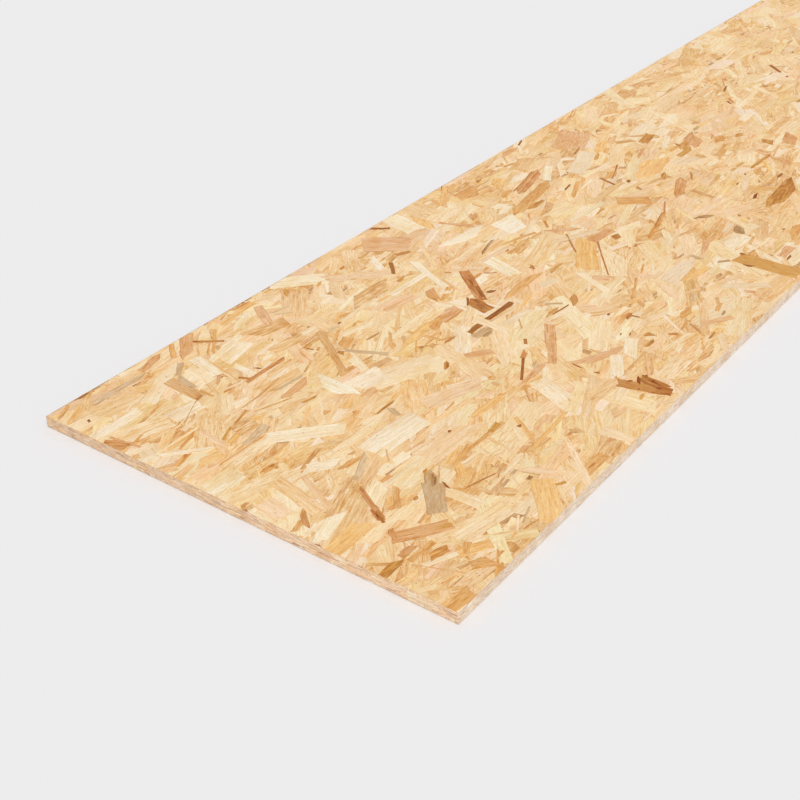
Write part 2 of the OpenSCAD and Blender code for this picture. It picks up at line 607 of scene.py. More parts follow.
# The outline of one strand about its own middle: along the grain and across it
def strandOutline(rng, strand):
    length, width, taper, seen = strand["length"], strand["width"], strand["taper"], strand["seen"]
    sides = 5 if width > 8 else 3
    half = width / 2
    reach = length * endSet["reach"]
    nearPlaces, nearBacks = shapeEnd(rng, width, reach, taper in (-1, 2), seen)
    farPlaces, farBacks = shapeEnd(rng, width, reach, taper in (1, 2), seen)
    wobble = 0.015 * width + 0.1  # mm
    step = rng.uniform(0.06, 0.2) * width if rng.random() < 0.35 and width > 6 else 0.0
    stepFrom = rng.uniform(0.2, 0.8)
    left, right = [], []
    for side, run in ((-1, left), (1, right)):
        end = 0 if side < 0 else -1
        shares = np.sort(np.clip(np.linspace(0, 1, sides) + rng.normal(0, 0.08, sides), 0, 1))
        shares[0], shares[-1] = 0, 1
        low, high = -length / 2 + nearBacks[end], length / 2 - farBacks[end]
        for share in shares if side < 0 else shares[::-1]:
            away = half + rng.normal(0, wobble) - (step if side > 0 and share < stepFrom else 0.0)
            run.append((low + share * (high - low), side * max(away, 0.3 * half)))
    farAcross = np.interp(farPlaces, (-1, 1), (left[-1][1], right[0][1]))
    nearAcross = np.interp(nearPlaces, (-1, 1), (left[0][1], right[-1][1]))
    farEnd = list(zip(length / 2 - farBacks, farAcross))[1:-1]
    nearEnd = list(zip(nearBacks - length / 2, nearAcross))[-2:0:-1]
    return np.array(left + farEnd + right + nearEnd)


def anyStrand(rng):
    tint = tintNames[rng.choice(len(tintNames), p=tintShares)]
    kind = strandKinds[rng.choice(len(strandKinds), p=kindShares)]
    if tint not in paleTints:  # bark side and heartwood come in thin pieces
        kind = strandKinds[rng.choice([2, 3])]
    reachX, reachY = halfWidth + faceSet["beyond"][0], halfLength + faceSet["beyond"][1]
    return {
        "x": rng.uniform(-reachX, reachX),
        "y": rng.uniform(-reachY, reachY),
        "length": rng.uniform(*kind["length"]),
        "width": rng.uniform(*kind["width"]),
        "turn": anyTurn(rng),
        "taper": 0,
        "tint": tint,
        "seen": False,
    }


# Lays a strand's outline on the face, a little bowed
def turnOutline(strand):
    rng = strand["rng"]
    local = strandOutline(rng, strand)
    while crossesItself(local):
        local = strandOutline(rng, strand)
    angle = math.radians(90 - strand["turn"])  # from the +X direction
    c, s = math.cos(angle), math.sin(angle)
    bow = rng.normal(0, faceSet["bow"]) * strand["length"]
    across = local[:, 1] + bow * (1 - (2 * local[:, 0] / strand["length"]) ** 2)
    x = strand["x"] + local[:, 0] * c - across * s
    y = strand["y"] + local[:, 0] * s + across * c
    strand["angle"] = angle
    strand["outline"] = np.stack([x, y, local[:, 0], local[:, 1], np.zeros(len(x))], 1)


# Keeps the strands that something of is seen from outside, tried on a grid of 1 mm from the top down
def keepSeen(strands):
    middle = np.array([halfWidth, halfLength])
    covered = np.zeros((2 * middle).astype(int) + 1, bool)
    kept = []
    for strand in reversed(strands):
        shape = strand["outline"][:, :2] + middle
        low = np.maximum(np.floor(shape.min(0)).astype(int), 0)
        high = np.minimum(np.ceil(shape.max(0)).astype(int), covered.shape)
        if (high <= low).any():
            continue
        px, py = np.arange(low[0], high[0]) + 0.5, np.arange(low[1], high[1]) + 0.5
        inside = np.zeros((len(px), len(py)), bool)
        for (ax, ay), (bx, by) in zip(shape, np.roll(shape, -1, axis=0)):
            if ay != by:
                crossing = ax + (py - ay) / (by - ay) * (bx - ax)
                inside ^= ((ay > py) != (by > py)) & (px[:, None] < crossing)
        view = covered[low[0]:high[0], low[1]:high[1]]
        if (inside & ~view).sum() >= 3:
            kept.append(strand)
            view |= inside
    return kept[::-1]


tearSet = {
    "flat": 0.02,  # mm that a corner may lie off the face
    "inside": 0.6,  # mm from the border, to be past the worn arris
    "apart": 25,  # mm between the corners of one place at the most
    "spare": 0.2,  # how far its ends are drawn out to the border, of its length
}


# The places where the saw tore a strand out of an arris of one face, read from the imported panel:
# away from the border, that face has no corners but theirs
def findTears(level, mirror, s):
    corners = np.array([v.co[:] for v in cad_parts["osb_panel"].data.vertices]) / mm
    inside = np.minimum(halfWidth - np.abs(corners[:, 0]), halfLength - np.abs(corners[:, 1]))
    corners = corners[(np.abs(corners[:, 2] - level) < s["flat"]) & (inside > s["inside"])][:, :2]
    corners[:, 0] *= mirror
    groups = []
    for corner in np.unique(corners.round(2), axis=0):
        for group in groups:
            if np.hypot(*(corner - group[0])) < s["apart"]:
                group.append(corner)
                break
        else:
            groups.append([corner])
    tears = []
    for group in groups:
        group = np.array(group)
        middle = group.mean(0)
        onEnd = halfLength - abs(middle[1]) < halfWidth - abs(middle[0])
        axis, half = (1, halfLength) if onEnd else (0, halfWidth)
        out, side = np.zeros(2), np.zeros(2)
        out[axis], side[1 - axis] = math.copysign(1, middle[axis]), 1
        points = np.stack([group @ side, half - group @ out], 1)
        points = points[np.argsort(points[:, 0])]
        spare = s["spare"] * (points[-1, 0] - points[0, 0])
        first, last = (points[0, 0] - spare, 0.0), (points[-1, 0] + spare, 0.0)
        points = np.concatenate([[first], points, [last]])
        tears.append({"side": side, "out": out, "half": half, "points": points})
    return tears


# Takes a torn place out of a strand's outline, which may leave several parts
def tearOut(outline, tear):
    side, out, points = tear["side"], tear["out"], tear["points"]
    along = outline[:, :2] @ side
    depth = tear["half"] - outline[:, :2] @ out
    first, last = points[0, 0], points[-1, 0]
    if along.max() < first or along.min() > last or depth.min() > points[:, 1].max():
        return [outline]
    parts = [cutOutline(outline, side, first, seam), cutOutline(outline, -side, -last, seam)]
    for (t0, d0), (t1, d1) in zip(points[:-1], points[1:]):
        part = cutOutline(outline, side, t1, seam)
        if len(part) >= 3:
            part = cutOutline(part, -side, -t0, seam)
        if len(part) >= 3:
            slope = (d1 - d0) / (t1 - t0)
            part = cutOutline(part, out + slope * side, tear["half"] - d0 + slope * t0, torn)
        parts.append(part)
    return [part for part in parts if len(part) >= 3]


# The bottom of a torn place, which slopes up to its inner end, with splinters on it
tornSet = {
    "seed": 5,
    "colour": (168, 122, 88),
    "splinters": [(222, 178, 132), (140, 94, 62), (196, 148, 108)],
    "splinterWidth": (0.7, 1.6),  # mm
    "splinterLength": (1.2, 2.2),  # mm
    "splinterLift": (0.05, 0.15),  # mm above the bottom
    "spread": 0.3,  # how far from the middle a splinter may stand, of the place's length
    "depth": 0.7,  # mm at the edge
    "slope": 0.12,
    "within": 0.08,  # mm behind the sawn edge
    "rim": 0.1,  # mm
}


# Twice the area of a triangle, more than 0 where its corners run counterclockwise
def turnOf(a, b, c):
    return a[0] * (b[1] - c[1]) + b[0] * (c[1] - a[1]) + c[0] * (a[1] - b[1])


def layTorn(heap, tears, place, s):
    rng = np.random.default_rng(s["seed"])
    for tear in tears:
        points, out = tear["points"], tear["out"]
        middle, span = points[:, 0].mean(), points[-1, 0] - points[0, 0]
        shapes = [(s["colour"], points, 0.0)]
        for colour in s["splinters"]:
            t = middle + rng.uniform(-s["spread"], s["spread"]) * span
            width, length = rng.uniform(*s["splinterWidth"]), rng.uniform(*s["splinterLength"])
            splinter = np.array([(t, 0.0), (t + width, 0.0), (t + width * 0.6, length)])
            shapes.append((colour, splinter, rng.uniform(*s["splinterLift"])))
        for colour, shape, lift in shapes:
            flat = shape[:, :1] * tear["side"] + (tear["half"] - s["within"] - shape[:, 1:]) * out
            if turnOf(flat[0], flat[1], flat[-1]) < 0:
                flat = flat[::-1]
            outline = np.concatenate([flat, flat, np.full((len(flat), 1), float(seam))], 1)

            def level(px, py):
                depth = tear["half"] - np.stack([px, py], 1) @ out
                return -s["depth"] + lift + s["slope"] * depth

            look = {
                "tint": [*toLinear(colour), 0.0],
                "seed": rng.uniform(0, 900),
                "rimWidth": s["rim"],
                "rimDrop": s["rim"],
                "wallDrop": s["rim"],
                "tornDrop": s["rim"],
                "bands": 0.5,
                "flecks": 0.0,
                "shade": lambda along, across, onRim: np.zeros(len(along)),
                "limits": (halfWidth, halfLength),
            }
            addPlate(heap, outline, level, place, look, 0.0)


# How a strand deepens in colour towards one side and one end, and how dark the painted shade line is
# along the side that stands off the strand below, where the gap under it would be in shadow
def shadeStrand(rng, length, width):
    across, along = rng.normal(0, 0.09), rng.normal(0, 0.07)
    base = rng.uniform(0, 0.06)
    line = rng.uniform(0.5, 1.0) if rng.random() < 0.36 else rng.uniform(0.0, 0.4)
    darkSide = rng.choice([-1, 1])

    def shade(along0, across0, onRim):
        side, end = across0 / width * 2, along0 / length * 2
        # Painted shade: each of the strand's own rim corners darkens a little, and those on the side that
        # stands off much more
        rimShade = rng.uniform(0, 0.2, len(side)) + line * (darkSide * side > 0.3)
        return (base + across * side + along * end + onRim * rimShade).clip(0, 1)

    return shade, line


# A strand's own colour, paler and redder or darker and yellower by chance than its tint
def tintStrand(rng, strand, s):
    colour, _, stained = strandTints[strand["tint"]]
    vary = s["seenVary"] if strand["seen"] else 1.0
    stray = rng.normal(0, [0.008, 0.018, 0.042]) * vary + rng.normal(0, 0.03) * vary
    contrast = s["seenContrast"] if strand["seen"] else s["contrast"]
    tint = usualTint * (toLinear(colour) * np.exp(stray) / usualTint) ** contrast
    tint = tint * np.power(s["deepTone"], 0 if strand["seen"] else 1 - strand["order"])
    return [*tint.clip(0, 0.97), stained * rng.uniform(0.5, 1.5)]


# Lays the strands in order, each a little above the one before, and cuts them off at the saw lines
def layStrands(strands, pieces, place, tears, s):
    heaps = [newHeap() for _ in range(pieces)]
    for i, strand in enumerate(strands):
        rng, length, width = strand["rng"], strand["length"], strand["width"]
        c, sn = math.cos(strand["angle"]), math.sin(strand["angle"])
        order = strand["order"]
        inset = s["skin"] + s["setBack"] * (1 - order)
        whole = cutToSize(strand["outline"], halfWidth - inset, halfLength - inset)
        if whole is None:
            continue
        # The seen strands lie quite level: nearly level faces that cross would shade each other
        slack = 0.0 if strand["seen"] else 1.0
        dive = rng.uniform(-1, 1) * slack * s["tilt"] / length
        roll = rng.uniform(-1, 1) * slack * s["roll"] / width
        top = -s["skin"] - s["depth"] * (1 - order) - slack * s["lift"] * rng.random()
        fall = abs(dive) * length / 2 + abs(roll) * width / 2

        def level(px, py):
            along = (px - strand["x"]) * c + (py - strand["y"]) * sn
            side = (py - strand["y"]) * c - (px - strand["x"]) * sn
            return np.minimum(top - fall + along * dive + side * roll, -s["skin"] / 2)

        look = {
            "tint": tintStrand(rng, strand, s),
            "seed": rng.uniform(0, 900),
            "rimDrop": rng.uniform(*s["rimDrop"]),
            "wallDrop": s["wallDrop"],
            "tornDrop": s["tornDrop"],
            "bands": rng.uniform(0.0, 1.0),
            "flecks": rng.choice(s["flecks"], p=s["fleckShares"]),
            "limits": (halfWidth - inset, halfLength - inset),
        }
        look["shade"], line = shadeStrand(rng, length, width)
        widest, share = s["darkRim"] if line > 0.5 else s["rimWidth"]
        look["rimWidth"] = min(widest, share * width)
        parts = [whole]
        for tear in tears:
            parts = [part for outline in parts for part in tearOut(outline, tear)]
        for outline in parts:
            addPlate(heaps[i * pieces // len(strands)], outline, level, place, look, strand["angle"])
    layTorn(heaps[-1], tears, place, tornSet)
    return heaps


def onUpperFace(x, y, height):
    return np.stack([x, y, thickness + height], 1)


def onUnderside(x, y, height):
    return np.stack([-x, y, -height], 1)


# The strands that stand out on the upper face, as seen: along from the near end and across from the
# left edge (mm, to the middle of the strand), length, width, turn to the right of the long axis in
# degrees, and 1 or -1 where the far or near end is pointed, 2 for both
seenStrands = {
    "paleStraw": [
        (188, 343, 100, 16, 2, 0), (523, 328, 62, 17, -85, 0), (674, 412, 32, 18, -10, 0),
        (1225, 312, 20, 14, -20, 0), (118, 8, 30, 6, 50, 0), (18, 52, 44, 26, 5, 0),
        (520, 290, 104, 16, -22, 0), (4, 364, 42, 12, 95, 0), (366, 262, 34, 10, 62, 0),
        (468, 560, 40, 16, -10, 0), (140, 562, 90, 26, 10, 0), (52, 122, 76, 32, 18, 0),
        (186, 88, 50, 18, -80, 0), (90, 262, 84, 19, 2, 0), (50, 312, 120, 26, 12, 0),
        (290, 326, 84, 5, -8, 2), (238, 532, 84, 5, -3, 0), (120, 430, 60, 26, -20, 0),
        (350, 300, 112, 40, 20, 0), (470, 235, 104, 14, -3, 0), (480, 375, 102, 28, -42, 0),
        (590, 465, 88, 30, -25, 0), (570, 585, 62, 26, 0, 0), (690, 176, 92, 12, -2, 0),
        (800, 370, 104, 40, -30, 0), (640, 492, 44, 22, -8, 0), (1040, 468, 66, 16, -65, 0),
        (383, 602, 46, 20, 90, 0), (785, 70, 60, 44, -12, 0), (1270, 207, 84, 12, -15, 2),
    ],
    "straw": [
        (283, 495, 54, 5, -77, 0), (238, 607, 50, 5, -53, 0), (634, 548, 42, 3, -50, 0),
        (1218, 335, 20, 10, 20, 0), (205, 222, 92, 18, 18, 0), (880, 498, 52, 4, -40, 0),
        (259, 492, 78, 4, -80, 0), (264, 163, 54, 14, 3, 0), (213, 100, 84, 6, -77, 0),
        (57, 362, 86, 21, -78, 0), (325, 55, 54, 18, -8, 0), (565, 48, 76, 24, -42, 0),
        (420, 345, 112, 32, -72, 0), (482, 440, 92, 13, -60, 1), (650, 276, 62, 12, -10, 2),
        (770, 262, 132, 36, -15, 0), (775, 25, 58, 48, -80, 0),
    ],
    "honey": [
        (52, 350, 62, 3, -72, 0), (148, 399, 64, 20, -18, 0), (1265, 282, 40, 14, 0, 0),
        (697, 438, 62, 5, 12, 2), (718, 560, 98, 13, -28, 0), (500, 133, 102, 28, 3, 2),
        (85, 402, 92, 10, -20, 2), (632, 350, 44, 16, 0, 0), (318, 130, 62, 20, 8, 0),
        (395, 350, 50, 16, -40, 0), (1230, 130, 50, 20, -20, 2), (132, 218, 38, 26, 8, 0),
        (328, 80, 78, 26, 15, 0), (412, 62, 86, 40, -40, 0), (462, 535, 80, 24, 5, 2),
        (348, 605, 58, 30, -10, 0), (880, 308, 86, 22, 3, 2), (860, 603, 92, 30, 5, 0),
        (552, 612, 46, 16, 40, 0),
    ],
    "gold": [
        (216, 602, 94, 30, -38, 0), (738, 60, 56, 22, -60, 1), (340, 17, 76, 12, -5, 0),
        (36, 455, 80, 26, 0, 0), (212, 482, 36, 12, -45, 0), (98, 580, 44, 16, 30, 0),
        (350, 437, 78, 12, 3, 2), (448, 258, 98, 16, -5, 2), (800, 325, 112, 34, -30, 0),
        (20, 612, 44, 16, 10, 0), (1160, 250, 122, 42, -10, 2), (292, 328, 56, 6, -6, 2),
        (705, 456, 56, 8, 12, 2), (832, 489, 72, 16, 5, 2), (845, 25, 90, 12, -28, 2),
        (1190, 134, 84, 18, -22, 2), (193, 264, 50, 6, -30, 1), (344, 528, 92, 6, -5, 0),
        (940, 72, 52, 22, -20, 0), (232, 462, 44, 12, -20, 0), (50, 230, 44, 16, 15, 0),
    ],
    "cream": [
        (735, 140, 114, 24, 8, 2), (257, 80, 62, 38, -10, 0), (300, 274, 84, 34, 10, 0),
        (40, 85, 86, 17, 1, 0), (112, 133, 50, 26, 4, 0), (145, 62, 112, 20, -24, 1),
        (230, 125, 42, 12, -85, 0), (171, 174, 28, 16, 10, 0), (48, 199, 74, 8, 40, 1),
        (60, 172, 80, 3, 0, 2), (28, 275, 52, 34, 0, 0), (165, 288, 104, 26, 41, 0),
        (30, 427, 76, 18, -14, 1), (242, 482, 44, 5, 5, 0), (60, 560, 46, 8, 26, 0),
        (168, 450, 46, 12, -8, 1), (124, 350, 44, 18, 35, 0), (325, 36, 60, 8, -18, 2),
        (468, 25, 92, 34, 42, 0), (474, 73, 32, 6, -45, 2), (600, 167, 100, 14, -65, 0),
        (466, 318, 80, 24, -35, 0), (378, 383, 60, 10, 32, 0), (592, 413, 24, 4, -40, 2),
        (582, 515, 62, 20, -24, 0), (320, 495, 44, 4, -50, 0), (717, 32, 76, 38, -78, 0),
        (868, 122, 34, 16, 15, 0), (857, 140, 42, 16, -15, 0), (680, 242, 68, 32, -75, 0),
        (840, 338, 28, 10, -70, 0), (980, 87, 56, 18, -15, 2), (930, 395, 44, 12, -38, 2),
    ],
    "milk": [
        (269, 250, 80, 25, 92, 2), (556, 162, 92, 12, 2, 0), (580, 80, 50, 16, -60, 0),
        (1030, 118, 62, 14, -28, 0), (527, 524, 66, 18, -30, 0), (822, 175, 60, 48, 5, 0),
        (207, 80, 60, 18, -75, 0), (226, 380, 104, 38, 4, 0),
    ],
    "ash": [
        (1105, 140, 104, 34, -14, 0), (842, 280, 92, 18, 28, 0), (672, 609, 56, 11, -35, 1),
        (845, 568, 82, 16, 52, 0), (680, 327, 42, 16, 10, 0), (832, 466, 98, 26, -4, 1),
        (565, 345, 66, 12, 2, 2), (1010, 462, 44, 13, -8, 0), (1225, 285, 60, 26, 10, 0),
        (1305, 300, 40, 9, 0, 2),
    ],
    "rosyPale": [
        (22, 357, 44, 28, -80, 0), (368, 419, 34, 17, 5, 0), (765, 478, 60, 14, -55, 0),
        (87, 203, 50, 9, -80, 0), (258, 437, 112, 40, 2, 0), (263, 560, 52, 14, 65, 2),
        (530, 84, 114, 24, 40, 0), (350, 385, 104, 26, 20, 0),
    ],
    "rosy": [
        (633, 63, 76, 26, 50, 0), (651, 49, 80, 24, 50, 0), (1185, 75, 92, 58, -20, 0),
        (848, 252, 68, 12, 45, 2), (930, 462, 68, 12, -18, 2), (538, 490, 94, 15, 22, 2),
        (985, 570, 44, 16, 0, 0), (18, 122, 48, 5, 82, 0), (357, 52, 62, 14, -58, 0),
        (515, 262, 54, 20, 0, 0), (449, 357, 46, 14, 38, 0), (452, 442, 64, 9, -5, 2),
        (528, 420, 114, 16, -32, 0), (768, 105, 62, 8, 64, 0), (741, 382, 28, 14, 60, 0),
        (722, 578, 54, 12, 32, 0), (830, 579, 16, 7, 65, 0),
    ],
    "clay": [
        (230, 22, 74, 19, -42, -1), (191, 117, 24, 4, -42, 2), (46, 568, 62, 2, 68, 2),
        (88, 515, 76, 20, 33, 0), (172, 14, 52, 13, -12, 1), (8, 122, 44, 26, 60, 0),
        (868, 312, 60, 18, 5, 0), (1072, 13, 52, 14, 0, 2), (441, 377, 22, 4, -10, 2),
        (370, 599, 15, 8, 5, 0), (30, 395, 40, 8, -48, 2), (550, 208, 40, 16, -50, 0),
        (235, 212, 64, 13, -6, 2), (980, 108, 114, 18, -12, 2), (1110, 330, 92, 18, -22, 2),
        (1205, 205, 56, 7, -15, 2), (1315, 255, 70, 34, -10, 2), (1430, 395, 60, 24, -15, 0),
    ],
    "amber": [
        (543, 559, 22, 3, -33, 2), (718, 532, 40, 12, 5, 2), (93, 573, 24, 10, -30, 0),
        (145, 371, 42, 9, 5, 2), (97, 525, 30, 4, 33, 2), (364, 192, 34, 16, -20, 0),
        (60, 536, 44, 8, 2, 0), (68, 553, 34, 13, 15, 0), (84, 602, 36, 18, 40, 0),
        (285, 470, 84, 7, 2, 0), (238, 470, 50, 9, -8, 0), (398, 249, 18, 9, -55, 0),
        (412, 234, 40, 4, -38, 2), (482, 262, 34, 14, -15, 0), (925, 150, 154, 20, -9, 2),
        (315, 608, 50, 16, 0, 0), (1090, 210, 44, 16, -20, 2), (1350, 292, 44, 20, -20, 2),
        (1285, 252, 44, 18, 0, 2), (210, 16, 42, 8, -50, 0), (262, 44, 70, 4, -40, 2),
        (246, 50, 40, 3, -36, 2), (20, 10, 38, 5, -25, 2), (159, 126, 25, 4, 93, 0),
        (32, 130, 28, 5, -15, 2), (190, 214, 64, 3, 18, 2), (88, 249, 82, 3, 1, 2),
        (80, 301, 30, 10, -4, 2), (214, 278, 15, 8, 0, 2), (18, 614, 46, 18, 5, 0),
        (235, 309, 14, 7, 10, 2), (478, 55, 20, 7, -30, 2), (372, 171, 42, 5, -25, 2),
        (606, 377, 42, 9, 8, 2), (880, 52, 64, 26, 8, 1), (652, 300, 110, 15, -2, 2),
        (645, 353, 24, 9, -10, 2), (740, 437, 72, 4, -22, 2), (760, 562, 30, 7, -12, 0),
        (915, 104, 40, 12, -10, 2), (1000, 190, 76, 8, -22, 2), (1015, 292, 60, 30, 50, 0),
        (955, 364, 114, 8, -14, 2), (1060, 553, 72, 14, -10, 2), (1355, 275, 26, 6, -25, 2),
        (1285, 326, 60, 8, -10, 2),
    ],
    "ochre": [
        (183, 453, 13, 5, -20, 2), (134, 475, 10, 5, 0, 2), (577, 275, 42, 7, -60, 0),
        (905, 168, 50, 12, 0, 2), (106, 210, 31, 4, -22, 0), (17, 526, 40, 12, 0, 1),
        (72, 506, 26, 3, 38, 2), (111, 532, 22, 10, 33, 2), (143, 199, 34, 4, -16, 0),
        (563, 142, 24, 5, 3, 2), (425, 288, 34, 3, 40, 2), (266, 333, 44, 4, 0, 2),
        (398, 338, 26, 8, -32, 2), (388, 355, 10, 5, -40, 0), (481, 584, 18, 5, -12, 2),
        (224, 243, 30, 4, 12, 2), (257, 595, 15, 5, 30, 0), (541, 216, 30, 6, -80, 2),
        (728, 311, 40, 6, -3, 2), (1145, 150, 36, 7, -20, 2), (1022, 44, 28, 6, 18, 2),
        (1295, 394, 80, 7, 3, 2), (1138, 285, 36, 8, -25, 2), (428, 33, 28, 8, -35, 2),
        (310, 469, 24, 9, -4, 0), (610, 530, 28, 6, 0, 2), (1195, 480, 140, 28, -4, 2),
        (632, 518, 18, 9, 52, 0), (652, 545, 16, 7, 52, 0), (1165, 324, 38, 4, -28, 2),
        (925, 568, 108, 36, 88, 0), (1275, 182, 50, 18, -10, 0), (1260, 266, 58, 14, 0, 1),
        (1388, 368, 26, 22, -20, 0), (1390, 312, 24, 12, 20, 2),
    ],
    "tan": [
        (503, 536, 10, 6, 0, 2), (745, 233, 20, 3, -8, 2), (1064, 474, 12, 4, -20, 2),
        (354, 264, 30, 14, 10, 0), (162, 361, 13, 5, 5, 2), (74, 590, 34, 5, 20, 0),
        (1108, 373, 46, 10, -80, 0), (432, 284, 36, 3, -5, 2), (430, 293, 20, 3, 45, 2),
        (149, 96, 64, 19, -86, 0), (184, 398, 26, 3, -45, 0), (200, 182, 88, 3, -6, 2),
        (336, 190, 112, 12, -55, 0), (397, 415, 10, 6, 90, 0), (364, 556, 20, 8, 50, 0),
        (797, 520, 16, 8, -30, 2), (1080, 73, 54, 4, 45, 2), (1097, 170, 34, 5, 15, 2),
        (1237, 157, 44, 12, 35, 0),
    ],
    "grey": [
        (100, 28, 96, 10, 2, 2), (122, 240, 52, 13, -6, 0), (148, 386, 60, 8, -25, 1),
        (167, 327, 18, 4, 40, 2), (384, 154, 30, 8, -5, 2), (528, 251, 18, 6, 10, 2),
        (468, 433, 24, 8, -10, 2), (765, 520, 26, 9, -20, 0),
    ],
    "greyOlive": [
        (147, 493, 62, 28, -38, 0), (172, 472, 48, 18, -37, 1), (500, 328, 36, 13, 8, 0),
        (182, 55, 34, 9, -35, 0), (163, 85, 46, 10, -77, 0), (240, 197, 54, 5, 3, 2),
        (220, 542, 17, 4, -5, 0), (243, 539, 14, 4, -3, 0), (266, 347, 24, 9, -65, 0),
        (183, 594, 34, 2, -18, 2), (114, 140, 54, 2, -27, 2), (385, 60, 38, 3, 14, 2),
        (378, 70, 30, 3, 40, 2), (362, 230, 62, 8, 63, 0), (630, 367, 26, 5, 50, 0),
        (885, 468, 22, 8, -75, 0),
    ],
    "olive": [
        (174, 473, 30, 6, -33, 2), (245, 560, 11, 5, 0, 0), (897, 506, 24, 7, 40, 0),
        (1027, 413, 40, 10, 42, 2), (728, 189, 58, 5, -14, 2), (748, 576, 18, 4, -10, 2),
        (1016, 480, 32, 16, -25, 1), (501, 337, 24, 7, 3, 2),
    ],
    "rust": [
        (358, 6, 42, 4, 8, 2), (609, 240, 98, 17, -50, 0), (64, 495, 22, 8, -58, 2),
        (248, 151, 80, 7, 0, 0), (98, 437, 66, 7, -61, 1), (484, 406, 26, 8, -18, 1),
        (68, 488, 14, 6, -30, 2), (52, 523, 28, 9, 0, 0), (85, 457, 28, 10, -60, 0),
        (1025, 344, 44, 3, -25, 2),
    ],
    "brown": [
        (502, 574, 72, 20, 74, 0), (520, 581, 46, 20, 100, 0), (511, 600, 24, 18, 80, 0),
        (563, 281, 46, 24, -76, 1), (340, 204, 12, 9, -30, 0), (145, 126, 17, 5, -5, 0),
        (258, 38, 44, 5, 52, 0), (657, 384, 40, 12, -38, 2), (215, 143, 20, 5, 65, 0),
        (416, 283, 9, 5, 30, 0), (500, 509, 10, 6, 90, 2), (665, 478, 14, 4, 80, 0),
        (499, 478, 20, 4, -85, 2), (82, 463, 24, 5, -58, 0), (85, 300, 13, 6, 0, 2),
        (208, 517, 48, 2, 16, 2), (324, 163, 16, 3, 70, 2), (402, 212, 28, 3, 5, 2),
        (455, 303, 32, 5, 2, 2), (513, 390, 16, 5, -35, 0), (500, 598, 26, 4, 73, 2),
        (310, 607, 18, 4, 5, 2), (632, 95, 28, 9, 28, 0), (657, 240, 20, 3, 50, 0),
        (710, 281, 20, 6, -40, 2), (815, 288, 66, 3, -43, 0), (735, 221, 12, 4, 0, 2),
        (620, 188, 12, 2, 58, 2), (799, 353, 116, 3, -37, 0), (877, 333, 22, 16, -45, 2),
        (867, 373, 13, 5, -5, 2), (661, 471, 22, 6, 0, 1), (680, 590, 24, 3, -5, 2),
        (930, 39, 18, 7, -8, 2), (975, 101, 96, 3, -12, 2), (915, 168, 34, 4, 0, 2),
        (1060, 218, 38, 6, -72, 0), (1105, 208, 66, 3, -20, 2), (1065, 274, 18, 8, -55, 2),
        (1148, 108, 40, 3, -15, 2), (1065, 458, 10, 5, -30, 2), (1058, 536, 10, 4, -10, 2),
        (1280, 242, 20, 7, -80, 2), (1227, 396, 12, 4, -20, 2),
    ],
    "umber": [
        (505, 554, 11, 6, 50, 2), (527, 565, 13, 7, -20, 2), (495, 573, 9, 4, 0, 2),
        (175, 489, 18, 4, -62, 2), (562, 263, 28, 4, -35, 2), (560, 286, 22, 9, -60, 2),
        (569, 272, 18, 5, -70, 2), (597, 260, 40, 7, -50, 0), (614, 234, 28, 6, -55, 2),
        (608, 273, 18, 7, 20, 2), (582, 112, 40, 7, -43, 0), (502, 314, 30, 10, 0, 0),
        (937, 520, 12, 7, 80, 2), (968, 582, 22, 4, 0, 2), (62, 2, 22, 5, -3, 2),
        (244, 139, 12, 3, 70, 2), (404, 151, 8, 4, 0, 2), (566, 314, 66, 9, 1, 0),
        (450, 424, 58, 4, -29, 0), (331, 493, 9, 5, 20, 2), (620, 383, 42, 3, 6, 2),
        (682, 14, 34, 7, 52, 0), (870, 5, 18, 2, -30, 2), (648, 445, 8, 4, 0, 2),
        (608, 486, 8, 2, -15, 2), (616, 496, 9, 2, -15, 2), (907, 545, 22, 7, 70, 2),
        (998, 175, 30, 4, -10, 2), (1082, 247, 13, 8, -45, 2), (1120, 6, 30, 4, -18, 2),
        (1182, 402, 14, 3, -10, 2), (1258, 447, 26, 5, 5, 2), (1217, 469, 10, 5, 0, 2),
    ],
    "bark": [
        (514, 563, 24, 5, -25, 2), (522, 580, 13, 7, -40, 2), (513, 594, 12, 5, 70, 2),
        (81, 460, 16, 4, -58, 2), (24, 52, 8, 7, 0, 2), (270, 429, 8, 5, 5, 2),
        (1152, 447, 28, 5, -15, 2), (548, 316, 22, 4, 2, 2),
    ],
}


subLayers = 8  # the strands of one tint lie in so many layers


# Every strand draws from a generator of its own, so a changed row changes no other strand
def listSeen():
    strands = []
    for layer, (tint, rows) in enumerate(seenStrands.items()):
        for i, (along, across, length, width, turn, taper) in enumerate(rows):
            strands.append({
                "x": across - halfWidth,
                "y": along - halfLength,
                "length": length,
                "width": width,
                "turn": turn,
                "taper": taper,
                "tint": tint,
                "seen": True,
                "layer": (layer + i % subLayers / subLayers) / len(seenStrands),
                "rng": np.random.default_rng([along, across, length, width]),
            })
    return strands


def makeFace(name, seed, pieces, place, tears, onTop):
    s = faceSet
    rng = np.random.default_rng(seed)
    strands = [anyStrand(rng) for _ in range(s["count"])]
    if onTop:  # the seen strands bring their own dark ones
        for strand in strands:
            if strand["y"] < s["calmReach"] and strand["tint"] in rareTints:
                strand["tint"] = "honey"
    highest = s["restShare"] if onTop else 1.0
    for i, strand in enumerate(strands):
        strand["order"] = highest * i / len(strands)
        strand["rng"] = np.random.default_rng([seed, i])
    for strand in onTop:
        strand["order"] = s["topShare"] + (1 - s["topShare"]) * strand["layer"]
    strands = strands + onTop
    for strand in strands:
        turnOutline(strand)
    strands = keepSeen(strands)
    for i, heap in enumerate(layStrands(strands, pieces, place, tears, s)):
        makePiece(f"{name}_strands_{i + 1}", heap, faceWood)


makeFace("upper", 11, 8, onUpperFace, findTears(thickness, 1, tearSet), listSeen())
makeFace("under", 23, 6, onUnderside, findTears(0.0, -1, tearSet), [])
print("faces laid")


